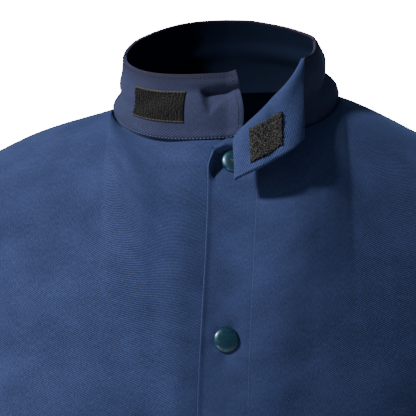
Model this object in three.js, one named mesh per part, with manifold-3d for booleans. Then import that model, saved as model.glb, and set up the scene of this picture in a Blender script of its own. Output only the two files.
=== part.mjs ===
// Flame-resistant work jacket, worn and fastened, with one end of its collar turned open.
// Millimetres, +Z up. The front faces -Y and the wearer's left is +X.
// The origin is the middle of the neck opening, at the mean height of the two side neck points.
import * as THREE from "three";
import { mergeVertices } from "three/addons/utils/BufferGeometryUtils.js";
import Module from "manifold-3d";

const wasm = await Module();
wasm.setup();

// Cloth thicknesses and clearances
const CLOTH = 1.6;
const TURNED_CLOTH = 2.4;
const COLLAR_CLOTH = 2.4;
const SEAM_GAP = 0.3;
const COLLAR_SEAT = 0.5;

// Neckline, measured on the neck seam
const NECK_HALF_WIDTH = 90;
const NECK_FRONT = 72;
const NECK_BACK = 62;
const NECK_DROP = 31;
const NECK_RISE = 15;
const NECK_LEAN = 5;

// Shoulders and armholes
const SHOULDER_HALF_WIDTH = 238;
const SHOULDER_DROP = 72;
const SHOULDER_SET_BACK = 3;
const ARMPIT_DROP = 262;
const ARMHOLE_FRONT = 75;
const ARMHOLE_BACK = 78;

// Body
const BACK_LENGTH = 761;
const CHEST_HALF_WIDTH = 222;
const CHEST_FRONT = 128;
const CHEST_BACK = 112;
const FOLD_DEPTH = 8;
const HEM_DEPTH = 25;

// Sleeves
const UNDERARM_LENGTH = 385;
const SLEEVE_ACROSS = 144;
const SLEEVE_HALF_DEPTH = 66;
const CUFF_ACROSS = 112;
const CUFF_HALF_DEPTH = 50;
const SLEEVE_BEND = 54;

// Front overlap
const PLACKET_HALF_WIDTH = 19.5;
const UNDERLAP = 17;
const CENTRE_SWAY = 8;
const LAYER_OUT = 3.2;
const LAYER_IN = 2.4;
const LIP_DROP = 7;

// Collar
const COLLAR_HEIGHT = 54;
const COLLAR_LEAN = 19;
const COLLAR_DENT = 9;
const COLLAR_END = 7.4;
const COLLAR_END_BULGE = 5.5;
const FLAP_LENGTH_TOP = 86;
const FLAP_LENGTH_BOTTOM = 46;
const ROLL_START = 9.4;
const ROLL_TOP_ANGLE = 54;
const ROLL_LIFT = 12;

// Touch fastener
const PATCH_THICKNESS = 1.6;
const PATCH_GAP = 0.9;
const PATCH_HEIGHT = 25.4;
const HOOK_LENGTH = 48;
const LOOP_LENGTH = 27;
const LOOP_MARGIN = 5.5;

// Snaps
const SNAP_COUNT = 5;
const SNAP_FIRST_DROP = 47.4;
const SNAP_SPACING = 137;
const CAP_RADIUS = 9.75;
const CAP_HEIGHT = 2.8;
const SOCKET_RADIUS = 6;
const SHANK_RADIUS = 2.5;
const STUD_RADIUS = 2.2;
const FLANGE_RADIUS = 5.2;

// Colours and finishes
const NAVY_TWILL = new THREE.MeshStandardMaterial({ color: 0x34466b, roughness: 0.9, metalness: 0 });
const HOOK_TAPE = new THREE.MeshStandardMaterial({ color: 0x313135, roughness: 0.6, metalness: 0 });
const LOOP_TAPE = new THREE.MeshStandardMaterial({ color: 0x2c2c30, roughness: 0.95, metalness: 0 });
const CAP_PAINT = new THREE.MeshStandardMaterial({ color: 0x204359, roughness: 0.3, metalness: 0.6 });
const BRASS = new THREE.MeshStandardMaterial({ color: 0x8a7a50, roughness: 0.35, metalness: 0.9 });

// Share of the half width, from the centre out, where the neckline ends and the shoulder starts
const NECK_SHARE = 0.4;
const NECK_STEPS = 8;
const SHOULDER_STEPS = 8;
const HEM_Z = NECK_RISE - BACK_LENGTH;
const BODY_DROP = -HEM_Z - ARMPIT_DROP;

// Body sections below the armpits: half width and reach as shares of the chest's
const BODY_SECTIONS = [
  { down: 0, half: 1, front: 1, back: 1 },
  { down: 0.12, half: 0.99, front: 1.01, back: 1.01 },
  { down: 0.38, half: 0.965, front: 0.95, back: 0.94 },
  { down: 0.73, half: 1, front: 0.97, back: 1.02 },
  { down: 1, half: 1.03, front: 0.99, back: 1.06 },
];

// Folds of the body: side is the share from the centre and drift its change per unit down.
// A negative depth is a hollow.
const BODY_FOLDS = [
  { face: -1, side: 0.62, drift: -0.05, from: 0.75, to: 2.3, width: 0.075, depth: -0.9 },
  { face: -1, side: -0.6, drift: 0.06, from: 0.8, to: 2.3, width: 0.08, depth: -1 },
  { face: -1, side: 0.42, drift: -0.04, from: 1.2, to: 2.4, width: 0.07, depth: 0.8 },
  { face: -1, side: -0.38, drift: 0.05, from: 1.3, to: 2.4, width: 0.07, depth: 0.8 },
  { face: 1, side: 0.5, drift: 0.08, from: 0.9, to: 2.4, width: 0.09, depth: -1.1 },
  { face: 1, side: -0.45, drift: -0.07, from: 1, to: 2.4, width: 0.09, depth: -1.1 },
  { face: 1, side: 0.05, drift: 0, from: 1.2, to: 2.4, width: 0.12, depth: 0.9 },
];

// Sleeve rings from the armhole down: out and down are shares of the underarm length, cap blends
// the armhole into the sleeve, taper blends the sleeve into the cuff, bend is a share of the bend
const SLEEVE_RINGS = [
  { down: 0.015, out: 0.008, tilt: 76, cap: 0.23, taper: 0, bend: 0 },
  { down: 0.04, out: 0.018, tilt: 64, cap: 0.53, taper: 0, bend: 0.02 },
  { down: 0.073, out: 0.028, tilt: 50, cap: 0.74, taper: 0, bend: 0.05 },
  { down: 0.12, out: 0.039, tilt: 34, cap: 0.89, taper: 0, bend: 0.09 },
  { down: 0.2, out: 0.05, tilt: 19, cap: 1, taper: 0.02, bend: 0.14 },
  { down: 0.345, out: 0.068, tilt: 10, cap: 1, taper: 0.12, bend: 0.25 },
  { down: 0.46, out: 0.085, tilt: 7, cap: 1, taper: 0.26, bend: 0.36 },
  { down: 0.57, out: 0.104, tilt: 7, cap: 1, taper: 0.42, bend: 0.48 },
  { down: 0.72, out: 0.128, tilt: 8, cap: 1, taper: 0.64, bend: 0.66 },
  { down: 0.86, out: 0.148, tilt: 9, cap: 1, taper: 0.84, bend: 0.84 },
  { down: 0.935, out: 0.156, tilt: 9, cap: 1, taper: 0.95, bend: 0.93 },
  { down: 1, out: 0.162, tilt: 9, cap: 1, taper: 1, bend: 1 },
];

// Collar round the neck, by angle from the front, positive to the wearer's left: rise is a share of
// its height, lean and dent are shares of the largest, and crease is the height of the dent
const COLLAR_SECTIONS = [
  { angle: -180, rise: 1, lean: 0.45, crease: 0.5, dent: 0.1 },
  { angle: -165, rise: 1.01, lean: 0.46, crease: 0.49, dent: 0.12 },
  { angle: -150, rise: 0.995, lean: 0.48, crease: 0.48, dent: 0.15 },
  { angle: -120, rise: 0.9, lean: 0.42, crease: 0.4, dent: 0.35 },
  { angle: -90, rise: 0.8, lean: 0.4, crease: 0.3, dent: 0.65 },
  { angle: -60, rise: 0.9, lean: 0.36, crease: 0.4, dent: 0.3 },
  { angle: -30, rise: 0.96, lean: 0.34, crease: 0.72, dent: 0.25 },
  { angle: 0, rise: 0.97, lean: 0.32, crease: 0.7, dent: 0.5 },
  { angle: 30, rise: 1, lean: 0.6, crease: 0.45, dent: 0.25 },
  { angle: 60, rise: 0.93, lean: 0.75, crease: 0.42, dent: 0.5 },
  { angle: 90, rise: 0.84, lean: 1, crease: 0.44, dent: 1 },
  { angle: 120, rise: 0.82, lean: 0.78, crease: 0.46, dent: 0.6 },
  { angle: 150, rise: 0.91, lean: 0.58, crease: 0.5, dent: 0.25 },
  { angle: 165, rise: 0.97, lean: 0.5, crease: 0.5, dent: 0.15 },
  { angle: 180, rise: 1, lean: 0.45, crease: 0.5, dent: 0.1 },
];
const COLLAR_ROWS = [1, 0.86, 0.72, 0.58, 0.44, 0.3, 0.15, 0];
const FLAP_STEPS = [1, 0.8, 0.6, 0.4, 0.25, 0.13, 0.05];

const point = (x, y, z) => new THREE.Vector3(x, y, z);
const { lerp, smoothstep, degToRad, clamp } = THREE.MathUtils;

// Reads a table at any place between its rows, on a smooth curve through them
function tableAt(rows, key, at) {
  let i = 0;
  while (i < rows.length - 2 && at > rows[i + 1][key]) i++;
  const a = rows[i];
  const b = rows[i + 1];
  const before = rows[Math.max(i - 1, 0)];
  const after = rows[Math.min(i + 2, rows.length - 1)];
  const span = b[key] - a[key];
  const t = clamp((at - a[key]) / span, 0, 1);
  const read = {};
  for (const column of Object.keys(a)) {
    const slopeA = ((b[column] - before[column]) / (b[key] - before[key])) * span;
    const slopeB = ((after[column] - a[column]) / (after[key] - a[key])) * span;
    const rise = b[column] - a[column];
    read[column] = a[column] + slopeA * t
      + (3 * rise - 2 * slopeA - slopeB) * t * t
      + (slopeA + slopeB - 2 * rise) * t * t * t;
  }
  return read;
}

function bezier(a, b, c, d, t) {
  const curve = new THREE.CubicBezierCurve3(a, b, c, d);
  return curve.getPoint(t);
}

// Neck seam and shoulder seam as one line: share 0 is the centre, 1 the shoulder tip
function topLine(face, share) {
  const side = Math.sign(share) || 1;
  const s = Math.abs(share);
  if (s <= NECK_SHARE) {
    const angle = ((s / NECK_SHARE) * Math.PI) / 2;
    const c = Math.cos(angle);
    const depth = face < 0 ? -NECK_FRONT : NECK_BACK;
    const height = face < 0 ? -NECK_DROP * (1.25 * c - 0.25 * c ** 3) : NECK_RISE * c;
    return point(
      side * NECK_HALF_WIDTH * Math.sin(angle),
      depth * c,
      height + side * NECK_LEAN * Math.sin(angle),
    );
  }
  const along = (s - NECK_SHARE) / (1 - NECK_SHARE);
  const lean = NECK_LEAN * (1 - smoothstep(along, 0, 0.5));
  return point(
    side * lerp(NECK_HALF_WIDTH, SHOULDER_HALF_WIDTH, along),
    SHOULDER_SET_BACK * along,
    side * lean - SHOULDER_DROP * (0.65 * along + 0.35 * along * along),
  );
}

// A body section is a rounded oblong with its side at share 1
const SECTION_POWER = 0.85;
function sectionPoint(face, share, down) {
  const { half, front, back } = tableAt(BODY_SECTIONS, "down", down);
  const angle = (Math.abs(share) ** 1.5 * Math.PI) / 2;
  const reach = face < 0 ? -CHEST_FRONT * front : CHEST_BACK * back;
  return point(
    (Math.sign(share) || 1) * CHEST_HALF_WIDTH * half * Math.sin(angle) ** SECTION_POWER,
    reach * Math.max(Math.cos(angle), 0) ** SECTION_POWER,
    -ARMPIT_DROP - down * BODY_DROP,
  );
}

// Armhole handles reach a third further than the oval that they draw
const HANDLE = 4 / 3;
function bodyBase(face, share, down) {
  if (down > 1) return sectionPoint(face, share, down - 1);
  const s = Math.abs(share);
  const top = topLine(face, share);
  const bottom = sectionPoint(face, share, 0);
  const neck = smoothstep(s, 0, NECK_SHARE);
  const tip = clamp((s - NECK_SHARE) / (1 - NECK_SHARE), 0, 1);
  const armhole = HANDLE * (face < 0 ? ARMHOLE_FRONT : ARMHOLE_BACK);
  const steep = degToRad(lerp(face < 0 ? 25 : 43, 90, neck));
  const length = lerp(ARMPIT_DROP * 0.29, armhole + SHOULDER_SET_BACK * face, tip * tip);
  const start = point(0, face * Math.sin(steep), -Math.cos(steep)).multiplyScalar(length);
  const under = smoothstep(s, 0.7, 1);
  const end = point(0, face * armhole * under, ARMPIT_DROP * 0.32 * (1 - under));
  return bezier(top, top.clone().add(start), bottom.clone().add(end), bottom, down);
}

function foldDepth(face, share, down) {
  let depth = 0;
  for (const fold of BODY_FOLDS) {
    if (fold.face !== face) continue;
    const off = (share - fold.side - fold.drift * (down - 1)) / fold.width;
    const start = smoothstep(down, fold.from, fold.from + 0.5);
    const stop = 1 - smoothstep(down, fold.to - 0.4, fold.to + 0.4);
    depth += FOLD_DEPTH * fold.depth * start * stop * Math.exp(-off * off);
  }
  return depth * (1 - smoothstep(Math.abs(share), 0.8, 0.97));
}

const PROBE = 0.004;
function bodyNormal(face, share, down) {
  const low = clamp(down, PROBE, 2 - PROBE);
  const across = bodyBase(face, share + PROBE, low).sub(bodyBase(face, share - PROBE, low));
  const along = bodyBase(face, share, low + PROBE).sub(bodyBase(face, share, low - PROBE));
  const normal = along.cross(across).normalize();
  return normal.multiplyScalar(Math.sign(normal.y * face) || 1);
}

// The outer face of the body: the fronts part into two layers where they overlap
const OVERLAP_FADE = 0.2;
function bodyPoint(face, share, down, layer = 0) {
  const base = bodyBase(face, share, down);
  const near = 1 - smoothstep(Math.abs(share), 0.09, 0.09 + OVERLAP_FADE);
  const seam = point(0, (face * SEAM_GAP) / 2, 0);
  const normal = bodyNormal(face, clamp(share, -0.95, 0.95), down);
  return base.add(seam).addScaledVector(normal, foldDepth(face, share, down) + layer * near);
}

// Where the centre front line runs: it sways to the wearer's right on its way down
function centreLine(z) {
  return lerp(0.7, -0.4, smoothstep(-z, NECK_DROP, ARMPIT_DROP)) * CENTRE_SWAY;
}

// Share that lies at a distance x from the middle, at a given place down the front
function shareAt(x, down) {
  let low = 0;
  let high = NECK_SHARE;
  for (let i = 0; i < 30; i++) {
    const middle = (low + high) / 2;
    if (bodyBase(-1, middle, down).x < Math.abs(x)) low = middle;
    else high = middle;
  }
  return Math.sign(x) * low;
}

function downAt(z) {
  let low = 0;
  let high = 2;
  for (let i = 0; i < 40; i++) {
    const middle = (low + high) / 2;
    if (bodyBase(-1, 0, middle).z > z) low = middle;
    else high = middle;
  }
  return low;
}

// A closed cloth wall: outer is rows of points from the top down, left to right as seen from outside
function clothWall(outer, thickness, edit = () => {}, ring = false) {
  const rows = outer.length;
  const columns = outer[0].length;
  const count = rows * columns;
  const at = (r, c) => r * columns + (c % columns);
  const normals = Array.from({ length: count }, () => point(0, 0, 0));
  const points = outer.flat();
  const faces = [];
  const spans = ring ? columns : columns - 1;
  for (let r = 0; r < rows - 1; r++) {
    for (let c = 0; c < spans; c++) {
      const [a, b, d, e] = [at(r, c), at(r + 1, c), at(r + 1, c + 1), at(r, c + 1)];
      faces.push([a, b, d], [a, d, e]);
    }
  }
  for (const [a, b, c] of faces) {
    const edge = points[b].clone().sub(points[a]);
    const normal = edge.cross(points[c].clone().sub(points[a]));
    for (const i of [a, b, c]) normals[i].add(normal);
  }
  const inner = [];
  for (let r = 0; r < rows; r++) {
    for (let c = 0; c < columns; c++) {
      const normal = normals[at(r, c)].normalize();
      edit(normal, r, c);
      inner.push(points[at(r, c)].clone().addScaledVector(normal.normalize(), -thickness(r, c)));
    }
  }
  const triangles = [];
  for (const [a, b, c] of faces) triangles.push(a, b, c, a + count, c + count, b + count);
  const rim = (a, b) => triangles.push(b, a, a + count, b, a + count, b + count);
  for (let c = 0; c < spans; c++) {
    rim(at(0, c + 1), at(0, c));
    rim(at(rows - 1, c), at(rows - 1, c + 1));
  }
  for (let r = 0; r < rows - 1 && !ring; r++) {
    rim(at(r, 0), at(r + 1, 0));
    rim(at(r + 1, columns - 1), at(r, columns - 1));
  }
  const geometry = new THREE.BufferGeometry();
  const flat = points.concat(inner).flatMap((p) => [p.x, p.y, p.z]);
  geometry.setAttribute("position", new THREE.Float32BufferAttribute(flat, 3));
  geometry.setIndex(triangles);
  return geometry;
}

function toManifold(geometry) {
  const bare = geometry.clone();
  for (const name of Object.keys(bare.attributes)) if (name !== "position") bare.deleteAttribute(name);
  const merged = mergeVertices(bare);
  const index = merged.index.array;
  const kept = [];
  for (let i = 0; i < index.length; i += 3) {
    const [a, b, c] = [index[i], index[i + 1], index[i + 2]];
    if (a !== b && b !== c && a !== c) kept.push(a, b, c);
  }
  return new wasm.Manifold(new wasm.Mesh({
    numProp: 3,
    vertProperties: merged.attributes.position.array,
    triVerts: new Uint32Array(kept),
  }));
}

function fromManifold(solid) {
  const mesh = solid.getMesh();
  const geometry = new THREE.BufferGeometry();
  geometry.setAttribute("position", new THREE.BufferAttribute(mesh.vertProperties, 3));
  geometry.setIndex(new THREE.BufferAttribute(mesh.triVerts, 1));
  return geometry;
}

const jacket = new THREE.Group();
function addPiece(name, geometry, material) {
  const mesh = new THREE.Mesh(geometry, material);
  mesh.name = name;
  jacket.add(mesh);
  return mesh;
}

// Snap places: on the centre line, with the axis square to the cloth
const snaps = Array.from({ length: SNAP_COUNT }, (_, i) => {
  const z = -SNAP_FIRST_DROP - i * SNAP_SPACING;
  const down = downAt(z);
  const share = shareAt(centreLine(z), down);
  return { down, base: bodyPoint(-1, share, down), axis: bodyNormal(-1, share, down) };
});

const HOLE_RADIUS = SHANK_RADIUS + SEAM_GAP;
const HOLE_LENGTH = 30;
const HOLE_SIDES = 12;
function withSnapHoles(geometry) {
  let solid = toManifold(geometry);
  for (const { base, axis } of snaps) {
    const drill = new THREE.CylinderGeometry(HOLE_RADIUS, HOLE_RADIUS, HOLE_LENGTH, HOLE_SIDES);
    drill.applyQuaternion(new THREE.Quaternion().setFromUnitVectors(point(0, 1, 0), axis));
    drill.translate(base.x, base.y, base.z);
    solid = solid.subtract(toManifold(drill));
  }
  return fromManifold(solid);
}

// Places down a panel: 0 the neck and shoulder, 1 the armpit, 2 the hem, with a row through each snap
const HEM_START = 2 - HEM_DEPTH / BODY_DROP;
const ROW_SPACE = 0.045;
const SNAP_ROWS = snaps
  .map((snap) => snap.down)
  .filter((down) => down > ROW_SPACE && down < HEM_START - ROW_SPACE);
const PLAIN_ROWS = [0.05, 0.12, 0.2, 0.3, 0.42, 0.55, 0.72, 0.89, 1.12, 1.25, 1.38, 1.52, 1.66, 1.8];
const FIXED_ROWS = [0, 1, HEM_START - 0.01, HEM_START, 2];
const DOWN = PLAIN_ROWS
  .filter((down) => SNAP_ROWS.concat(FIXED_ROWS).every((row) => Math.abs(row - down) > ROW_SPACE))
  .concat(SNAP_ROWS.filter((down) => Math.abs(down - 1) > 0.01), FIXED_ROWS)
  .sort((a, b) => a - b);
const ARMPIT_ROW = DOWN.indexOf(1);
const HEM_ROW = DOWN.indexOf(HEM_START);

const SHARES = [];
for (let i = 0; i <= NECK_STEPS; i++) SHARES.push((NECK_SHARE * i) / NECK_STEPS);
for (let i = 1; i <= SHOULDER_STEPS; i++) SHARES.push(NECK_SHARE + ((1 - NECK_SHARE) * i) / SHOULDER_STEPS);

const armholeNormal = point(
  SHOULDER_DROP - ARMPIT_DROP,
  0,
  SHOULDER_HALF_WIDTH - CHEST_HALF_WIDTH,
).normalize().negate();

// Keeps a panel's wall square to its side seam and shoulder seam, and out of the sleeve
function keepSeams(normal, row, share) {
  const s = Math.abs(share);
  if (row === 0 && s >= NECK_SHARE - 0.001) normal.y = 0;
  if (s > 0.999) {
    if (row >= ARMPIT_ROW) normal.y = 0;
    const out = armholeNormal.clone();
    out.x *= Math.sign(share);
    const lift = normal.dot(out);
    if (row < ARMPIT_ROW && lift < 0) normal.addScaledVector(out, -lift);
  }
}

function bodyThickness(row, doubled) {
  return doubled || row >= HEM_ROW ? TURNED_CLOTH : CLOTH;
}

// The left front: two more columns reach past the centre to the placket edge, and its top falls
// to a lip over the first snap
const LIP_REACH = 0.12;
const LIP_SHARE = 0.78;
function leftFront() {
  const columns = [1, 0.5].map((part) => ({ part })).concat(SHARES.map((share) => ({ share })));
  const outer = DOWN.map((down) => columns.map(({ part, share }) => {
    if (share !== undefined) return bodyPoint(-1, share, down, LAYER_OUT);
    const below = smoothstep(down, 0, LIP_REACH);
    const edge = centreLine(bodyBase(-1, 0, down).z) - PLACKET_HALF_WIDTH * lerp(LIP_SHARE, 1, below);
    const reach = shareAt(edge * part, down);
    const lip = (LIP_DROP / ARMPIT_DROP) * part * (1 - below);
    return bodyPoint(-1, reach, down + lip, LAYER_OUT);
  }));
  const doubledTo = shareAt(PLACKET_HALF_WIDTH, 1);
  const doubled = (c) => c < 2 || SHARES[c - 2] < doubledTo;
  return clothWall(
    outer,
    (r, c) => bodyThickness(r, doubled(c)),
    (normal, r, c) => keepSeams(normal, r, c < 2 ? 0 : SHARES[c - 2]),
  );
}

// The right front: its underlap reaches past the centre behind the left front
function rightFront() {
  const columns = SHARES.map((share) => ({ share: -share })).reverse().concat({ part: 0.5 }, { part: 1 });
  const outer = DOWN.map((down) => columns.map(({ part, share }) => {
    if (share !== undefined) return bodyPoint(-1, share, down, -LAYER_IN);
    const edge = centreLine(bodyBase(-1, 0, down).z) + UNDERLAP;
    return bodyPoint(-1, shareAt(edge * part, down), down, -LAYER_IN);
  }));
  const last = SHARES.length - 1;
  return clothWall(
    outer,
    (r, c) => bodyThickness(r, c >= last - 2),
    (normal, r, c) => keepSeams(normal, r, c > last ? 0 : columns[c].share),
  );
}

function backPanel() {
  const shares = SHARES.slice(1).reverse().concat(SHARES.map((share) => -share));
  const outer = DOWN.map((down) => shares.map((share) => bodyPoint(1, share, down)));
  return clothWall(outer, (r) => bodyThickness(r, false), (normal, r, c) => keepSeams(normal, r, shares[c]));
}

addPiece("left_front", withSnapHoles(leftFront()), NAVY_TWILL);
addPiece("right_front", withSnapHoles(rightFront()), NAVY_TWILL);
addPiece("back", backPanel(), NAVY_TWILL);

// Sleeves: rings that fan out from the armhole about the armpit and then follow the arm down.
// A ring starts under the arm and goes round by the front, the outside and the back.
function sleeve(side) {
  const armhole = [];
  const down = DOWN.slice(0, ARMPIT_ROW + 1);
  for (const d of down.slice().reverse()) armhole.push(bodyBase(-1, 1, d));
  for (const d of down.slice(1, -1)) armhole.push(bodyBase(1, 1, d));
  const middle = armhole[0].clone().add(armhole[ARMPIT_ROW]).multiplyScalar(0.5);
  const height = armhole[ARMPIT_ROW].distanceTo(armhole[0]);
  const angles = armhole.map((p, i) => {
    const up = (p.z - middle.z) / (height / 2);
    const turn = Math.acos(clamp(up, -1, 1));
    return i <= ARMPIT_ROW ? Math.PI - turn : Math.PI + turn;
  });
  const outer = [armhole.map((p) => p.clone().addScaledVector(armholeNormal, SEAM_GAP))];
  for (const ring of SLEEVE_RINGS) {
    const across = lerp(lerp(height, SLEEVE_ACROSS, ring.cap), CUFF_ACROSS, ring.taper);
    const deep = lerp(lerp(ARMHOLE_FRONT, SLEEVE_HALF_DEPTH, ring.cap), CUFF_HALF_DEPTH, ring.taper);
    const tilt = degToRad(ring.tilt);
    const up = point(Math.cos(tilt), 0, Math.sin(tilt));
    const under = point(
      CHEST_HALF_WIDTH + ring.out * UNDERARM_LENGTH,
      lerp(SHOULDER_SET_BACK / 2, -SLEEVE_BEND, ring.bend),
      -ARMPIT_DROP - ring.down * UNDERARM_LENGTH,
    );
    const centre = under.clone().addScaledVector(up, across / 2);
    outer.push(angles.map((a) => centre.clone()
      .addScaledVector(up, (-across / 2) * Math.cos(a))
      .add(point(0, -deep * Math.sin(a), 0))));
  }
  const rings = side < 0
    ? outer.map((ring) => ring.map((p) => point(-p.x, p.y, p.z)).reverse())
    : outer;
  const out = point(armholeNormal.x * side, 0, armholeNormal.z);
  return clothWall(
    rings,
    (r) => (r >= rings.length - 2 ? TURNED_CLOTH : CLOTH),
    (normal, r) => r === 0 && normal.addScaledVector(out, -normal.dot(out)),
    true,
  );
}

addPiece("left_sleeve", sleeve(1), NAVY_TWILL);
addPiece("right_sleeve", sleeve(-1), NAVY_TWILL);

// Collar surface by angle from the front and height share
const SIDE_ANGLE = 90;
const BACK_ANGLE = 180;
const LAP_START = -1;
const LAP_STOP = 8.5;
const CREASE_HALF_HEIGHT = 0.14;
function collarPoint(angle, height) {
  const face = Math.abs(angle) > SIDE_ANGLE ? 1 : -1;
  const turn = face < 0 ? angle : Math.sign(angle) * (BACK_ANGLE - Math.abs(angle));
  const layer = face > 0 ? 0 : lerp(-LAYER_IN, LAYER_OUT, smoothstep(angle, LAP_START, LAP_STOP));
  const foot = bodyPoint(face, (turn / SIDE_ANGLE) * NECK_SHARE, 0, layer);
  if (Math.abs(Math.abs(angle) - SIDE_ANGLE) < 0.01) foot.y = 0;
  const { rise, lean, crease, dent } = tableAt(COLLAR_SECTIONS, "angle", angle);
  const inward = point(-foot.x / NECK_HALF_WIDTH ** 2, -foot.y / NECK_FRONT ** 2, 0).normalize();
  const off = (height - crease) / CREASE_HALF_HEIGHT;
  const hollow = Math.exp(-off * off) * smoothstep(height, 0, 0.2);
  const swell = 0.12 * Math.sin(Math.PI * height);
  foot.z += COLLAR_SEAT + COLLAR_HEIGHT * rise * height;
  return foot.addScaledVector(inward, COLLAR_LEAN * (lean * height ** 1.2 - swell) + COLLAR_DENT * dent * hollow);
}

const rollStart = THREE.MathUtils.radToDeg(Math.asin(ROLL_START / NECK_HALF_WIDTH));

// The right end of the collar bows forward a little between its seam and its top
function endAngle(height) {
  const reach = COLLAR_END + COLLAR_END_BULGE * Math.sin(Math.PI * height ** 0.6);
  return THREE.MathUtils.radToDeg(Math.asin(reach / NECK_HALF_WIDTH));
}

// The roll line, where the left end of the collar starts to turn over outwards
function rollAngle(height) {
  return lerp(rollStart, ROLL_TOP_ANGLE, height ** 1.15);
}

// Turned end of the collar: turn 0 is the roll line, 1 the end edge
function flapPoint(turn, height) {
  const angle = rollAngle(height);
  const start = collarPoint(angle, height);
  const back = collarPoint(angle + 2, height);
  const heading = start.clone().sub(back).normalize();
  const fall = point(-0.06, lerp(-0.68, -0.62, height), -0.76).normalize();
  const length = lerp(FLAP_LENGTH_BOTTOM, FLAP_LENGTH_TOP, height);
  const end = start.clone().addScaledVector(fall, length);
  const lead = start.clone().addScaledVector(heading, lerp(6, 12, height));
  const trail = end.clone().addScaledVector(fall, -0.45 * length);
  lead.y -= lerp(ROLL_LIFT, 0, height);
  trail.y -= lerp(ROLL_LIFT / 3, 0, height);
  return bezier(start, lead, trail, end, turn);
}

// Angles round the collar, in the panels' own steps so that both follow the same neck seam
const quarter = Array.from({ length: NECK_STEPS }, (_, i) => (SIDE_ANGLE * (i + 1)) / NECK_STEPS);
const fanned = [rollStart, ...quarter.filter((angle) => angle > rollStart + 2 && angle < SIDE_ANGLE)];
const leftBack = [SIDE_ANGLE, ...quarter.map((angle) => angle + SIDE_ANGLE)];
const standing = leftBack
  .concat(leftBack.slice(0, -1).reverse().map((angle) => -angle))
  .concat(quarter.slice(0, -1).reverse().map((angle) => -angle), 0);

function collar() {
  const outer = COLLAR_ROWS.map((height) => [
    ...FLAP_STEPS.map((turn) => flapPoint(turn, height)),
    ...fanned.map((angle) => {
      const share = (angle - rollStart) / (SIDE_ANGLE - rollStart);
      return collarPoint(lerp(rollAngle(height), SIDE_ANGLE, share), height);
    }),
    ...standing.map((angle) => collarPoint(angle, height)),
    collarPoint(endAngle(height), height),
  ]);
  const last = COLLAR_ROWS.length - 1;
  const firstStanding = FLAP_STEPS.length;
  return clothWall(outer, () => COLLAR_CLOTH, (normal, r, c) => {
    if (r === last && c >= firstStanding) normal.z = 0;
  });
}

addPiece("collar", collar(), NAVY_TWILL);

// A patch that follows a surface: lift is its back's height over it, across and down run from 0 to 1
function patch(surface, columns, rows, lift) {
  const normalAt = (u, v) => {
    const step = 0.01;
    const across = surface(u + step, v).sub(surface(u - step, v));
    const along = surface(u, v + step).sub(surface(u, v - step));
    return along.cross(across).normalize();
  };
  const outer = [];
  for (let r = 0; r <= rows; r++) {
    outer.push([]);
    for (let c = 0; c <= columns; c++) {
      const [u, v] = [c / columns, r / rows];
      outer[r].push(surface(u, v).addScaledVector(normalAt(u, v), lift + PATCH_THICKNESS));
    }
  }
  return clothWall(outer, () => PATCH_THICKNESS);
}

const HOOK_ANGLE = -55;
const HOOK_BASE = 0.27;
const hookSpan = THREE.MathUtils.radToDeg(HOOK_LENGTH / (NECK_HALF_WIDTH * 0.93));
addPiece("hook_patch", patch(
  (u, v) => collarPoint(HOOK_ANGLE + hookSpan * u, HOOK_BASE + (PATCH_HEIGHT / COLLAR_HEIGHT) * (1 - v)),
  6, 4, PATCH_GAP,
), HOOK_TAPE);

// The turned end fans out, so the loop tape crosses fewer of its height shares than the hook tape
const LOOP_BASE = 0.2;
const LOOP_FAN = 0.84;
addPiece("loop_patch", patch(
  (u, v) => {
    const height = LOOP_BASE + LOOP_FAN * (PATCH_HEIGHT / COLLAR_HEIGHT) * u;
    const length = lerp(FLAP_LENGTH_BOTTOM, FLAP_LENGTH_TOP, height);
    return flapPoint(1 - (LOOP_MARGIN + LOOP_LENGTH * (1 - v)) / length, height);
  },
  4, 6, PATCH_GAP + COLLAR_CLOTH,
), LOOP_TAPE);

// Snaps: heights on the axis are measured from the outer face of the left front
const CAP_SEAT = 0.6;
const SOCKET_SEAT = 0.55;
const capTop = CAP_SEAT + CAP_HEIGHT;
const socketTop = -TURNED_CLOTH - SOCKET_SEAT;
const layerStep = LAYER_OUT + LAYER_IN;
const socketFoot = socketTop - 1.3;
const CAP_PROFILE = [
  [0, capTop],
  [CAP_RADIUS * 0.5, capTop - CAP_HEIGHT * 0.1],
  [CAP_RADIUS * 0.84, capTop - CAP_HEIGHT * 0.42],
  [CAP_RADIUS, capTop - CAP_HEIGHT * 0.9],
  [CAP_RADIUS * 0.96, CAP_SEAT],
  [SHANK_RADIUS, CAP_SEAT],
  [SHANK_RADIUS, socketTop],
  [SOCKET_RADIUS, socketTop],
  [SOCKET_RADIUS, socketFoot],
  [STUD_RADIUS + 0.4, socketFoot],
  [STUD_RADIUS + 0.4, socketTop - 0.4],
  [0, socketTop - 0.4],
];
const studTop = socketFoot - SEAM_GAP;
const studFoot = -layerStep + SEAM_GAP;
const postTop = -layerStep - TURNED_CLOTH - SEAM_GAP;
const STUD_PROFILE = [
  [0, studTop + 1],
  [STUD_RADIUS, studTop + 1],
  [STUD_RADIUS, studTop],
  [FLANGE_RADIUS, studTop],
  [FLANGE_RADIUS, studFoot],
  [SHANK_RADIUS, studFoot],
  [SHANK_RADIUS, postTop],
  [FLANGE_RADIUS, postTop],
  [FLANGE_RADIUS, postTop - 0.9],
  [0, postTop - 0.9],
];

function turned(profile, sides, snap) {
  const outline = profile.map(([r, h]) => new THREE.Vector2(r, h)).reverse();
  const geometry = new THREE.LatheGeometry(outline, sides);
  geometry.applyQuaternion(new THREE.Quaternion().setFromUnitVectors(point(0, 1, 0), snap.axis));
  const seat = snap.base.clone().addScaledVector(snap.axis, LAYER_OUT);
  geometry.translate(seat.x, seat.y, seat.z);
  return fromManifold(toManifold(geometry));
}

snaps.forEach((snap, i) => {
  addPiece(`snap_cap_${i + 1}`, turned(CAP_PROFILE, 14, snap), CAP_PAINT);
  addPiece(`snap_stud_${i + 1}`, turned(STUD_PROFILE, 10, snap), BRASS);
});

export default jacket;
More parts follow.
